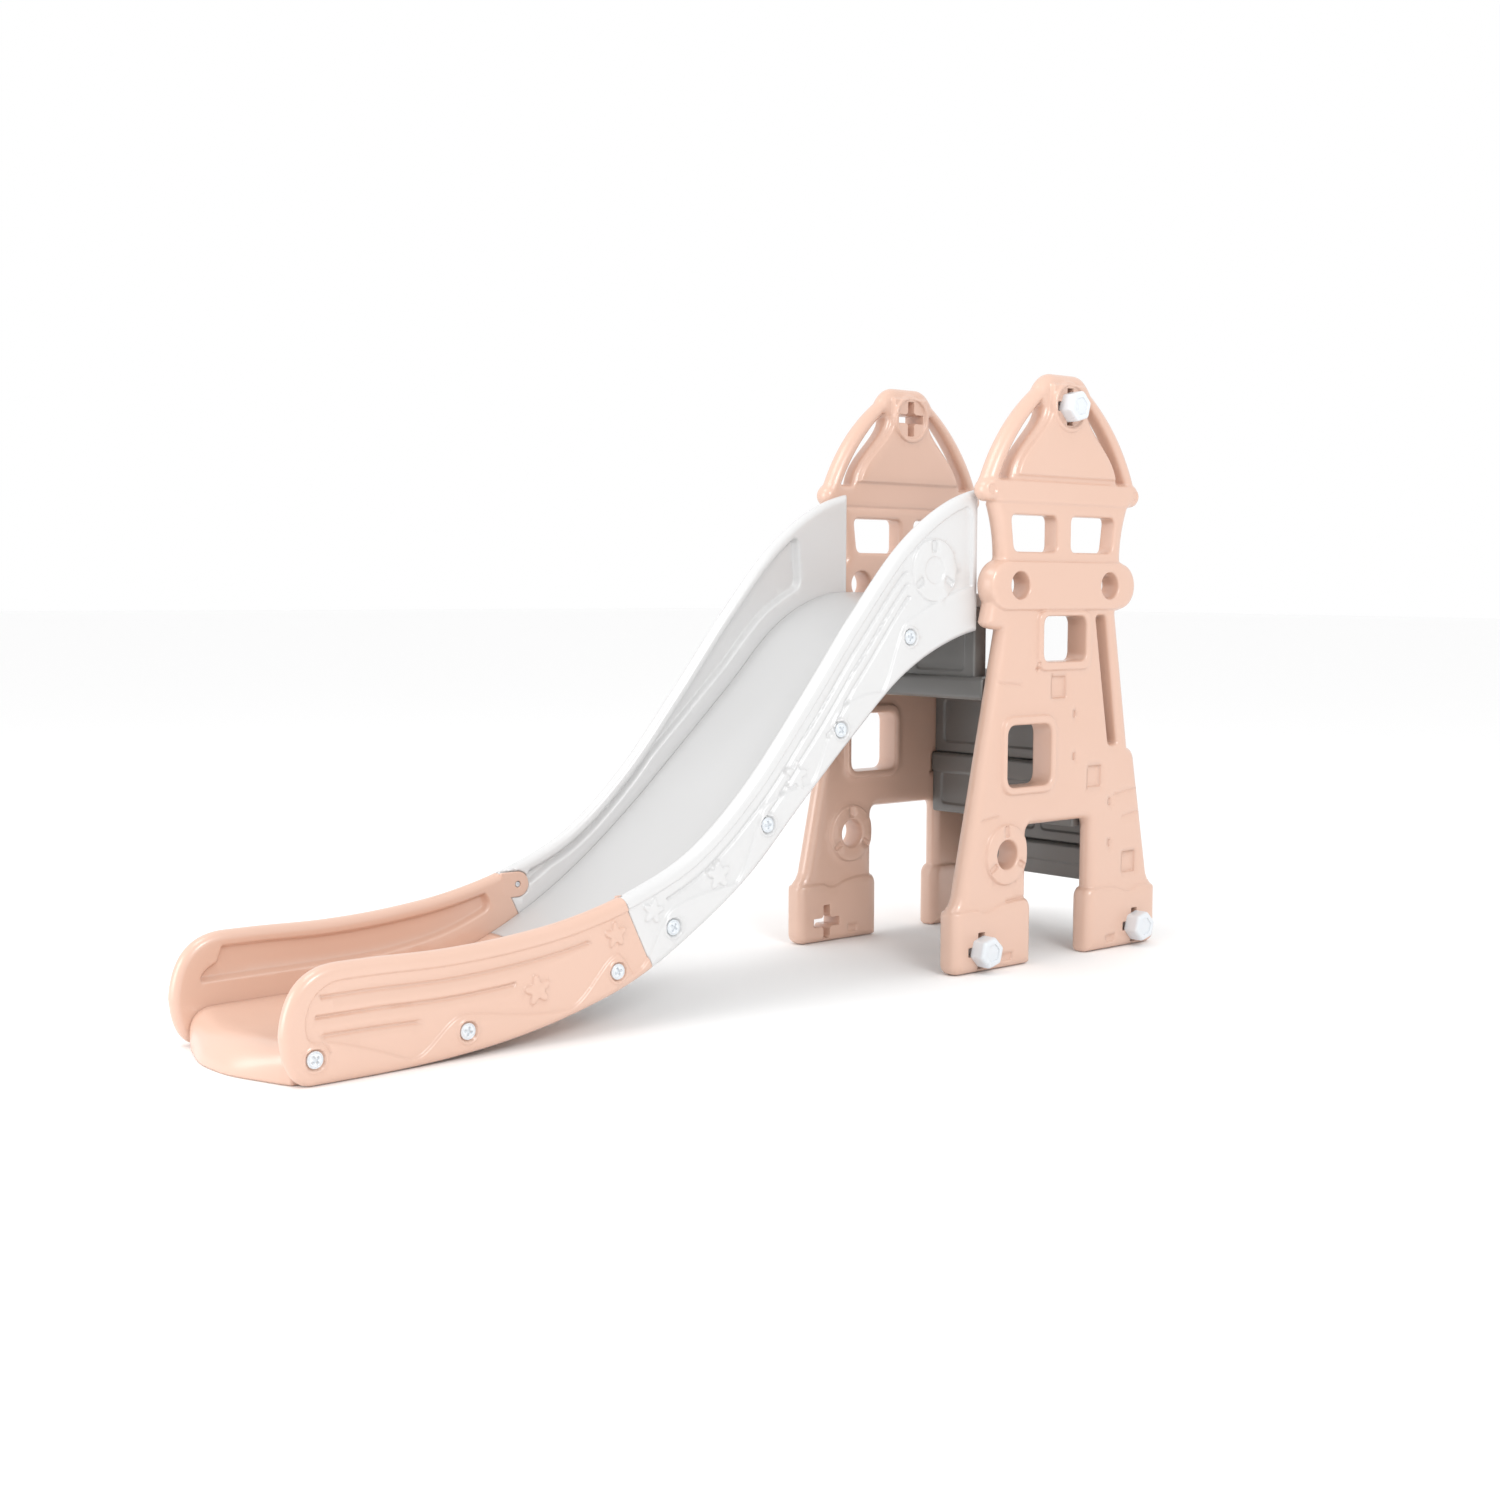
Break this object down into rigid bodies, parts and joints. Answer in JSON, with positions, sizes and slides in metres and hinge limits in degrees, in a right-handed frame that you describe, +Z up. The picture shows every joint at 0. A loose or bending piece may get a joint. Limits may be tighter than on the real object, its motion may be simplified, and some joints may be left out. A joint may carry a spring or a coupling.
{
  "type": "toddler slide",
  "caption": "Indoor toddler slide: castle-shaped tower panels joined by steps, with an S-shaped chute between side rails.",
  "frame": {"origin": "middle of the object's outline on the floor", "axes": "+X from the chute's exit towards the steps, +Y from the near tower panel (the one with the knobs) to the far one, +Z up"},
  "size_m": [1.895, 0.4932, 1.1],
  "materials": {
    "pink_plastic": "satin blow-moulded polyethylene, pale pink",
    "white_plastic": "satin blow-moulded polyethylene, white",
    "grey_plastic": "blow-moulded polyethylene, dark grey",
    "white_nylon": "injection-moulded nylon, cool white"
  },
  "bodies": {
    "fixed_structure": {"near_tower_panel": "pink_plastic", "far_tower_panel": "pink_plastic", "deck": "grey_plastic", "middle_step": "grey_plastic", "lower_step": "grey_plastic", "upper_riser": "grey_plastic", "lower_riser": "grey_plastic", "upper_bed": "white_plastic", "lower_bed": "pink_plastic", "upper_near_rail": "white_plastic", "lower_near_rail": "pink_plastic", "upper_far_rail": "white_plastic", "lower_far_rail": "pink_plastic", "near_rail_screw_1": "white_nylon", "near_rail_screw_2": "white_nylon", "near_rail_screw_3": "white_nylon", "near_rail_screw_4": "white_nylon", "near_rail_screw_5": "white_nylon", "near_rail_screw_6": "white_nylon", "near_rail_screw_7": "white_nylon", "near_joint_screw": "white_nylon", "far_rail_screw_1": "white_nylon", "far_rail_screw_2": "white_nylon", "far_rail_screw_3": "white_nylon", "far_rail_screw_4": "white_nylon", "far_rail_screw_5": "white_nylon", "far_rail_screw_6": "white_nylon", "far_rail_screw_7": "white_nylon", "far_joint_screw": "white_nylon"},
    "crown_knob": {"crown_knob": "white_nylon"},
    "front_foot_knob": {"front_foot_knob": "white_nylon"},
    "rear_foot_knob": {"rear_foot_knob": "white_nylon"}
  },
  "joints": [
    {"name": "crown_knob_turn", "type": "hinge", "parent": "fixed_structure", "child": "crown_knob", "pos_m": [0.6575, -0.21165, 1.04], "axis": [0, -1, 0], "range_deg": [0, 45]},
    {"name": "front_foot_knob_turn", "type": "hinge", "parent": "fixed_structure", "child": "front_foot_knob", "pos_m": [0.4375, -0.21165, 0.041], "axis": [0, -1, 0], "range_deg": [0, 45]},
    {"name": "rear_foot_knob_turn", "type": "hinge", "parent": "fixed_structure", "child": "rear_foot_knob", "pos_m": [0.8775, -0.21165, 0.041], "axis": [0, -1, 0], "range_deg": [0, 45]}
  ]
}
